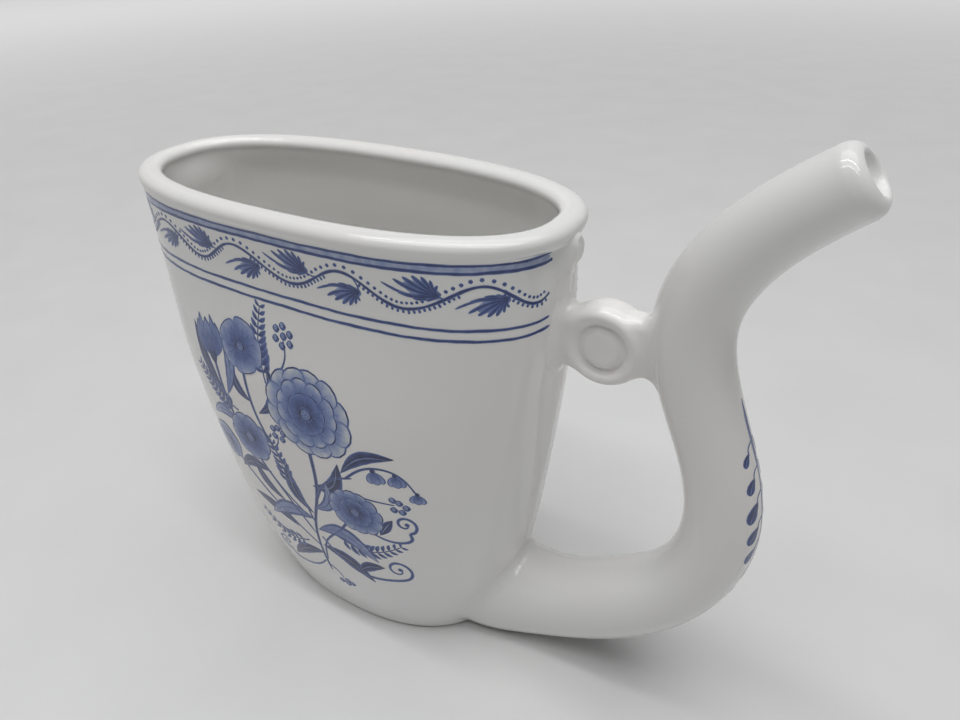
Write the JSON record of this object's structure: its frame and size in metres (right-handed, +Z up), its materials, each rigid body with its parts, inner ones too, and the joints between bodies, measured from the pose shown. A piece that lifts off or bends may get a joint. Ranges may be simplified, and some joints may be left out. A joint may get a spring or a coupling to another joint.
{
  "type": "spa cup",
  "caption": "Flat oval glazed porcelain spa cup whose hollow loop handle is the drinking tube, with a mouthpiece above the rim and a round medallion tying the tube to the wall.",
  "frame": {"origin": "middle of the foot, on the surface that the cup stands on", "axes": "+X along the flat oval body towards the handle, +Y across the body, +Z up"},
  "size_m": [0.1378, 0.0488, 0.1159],
  "materials": {
    "body_glaze": "gloss clear glaze over white porcelain, with cobalt blue ornament",
    "tube_glaze": "gloss clear glaze over white porcelain",
    "disc_glaze": "gloss clear glaze over white porcelain",
    "leaf_glaze": "gloss clear glaze over white porcelain"
  },
  "bodies": {
    "root": {"cup_body": "body_glaze", "drinking_tube": "tube_glaze", "bridge_disc": "disc_glaze", "relief_leaf": "leaf_glaze"}
  },
  "joints": []
}
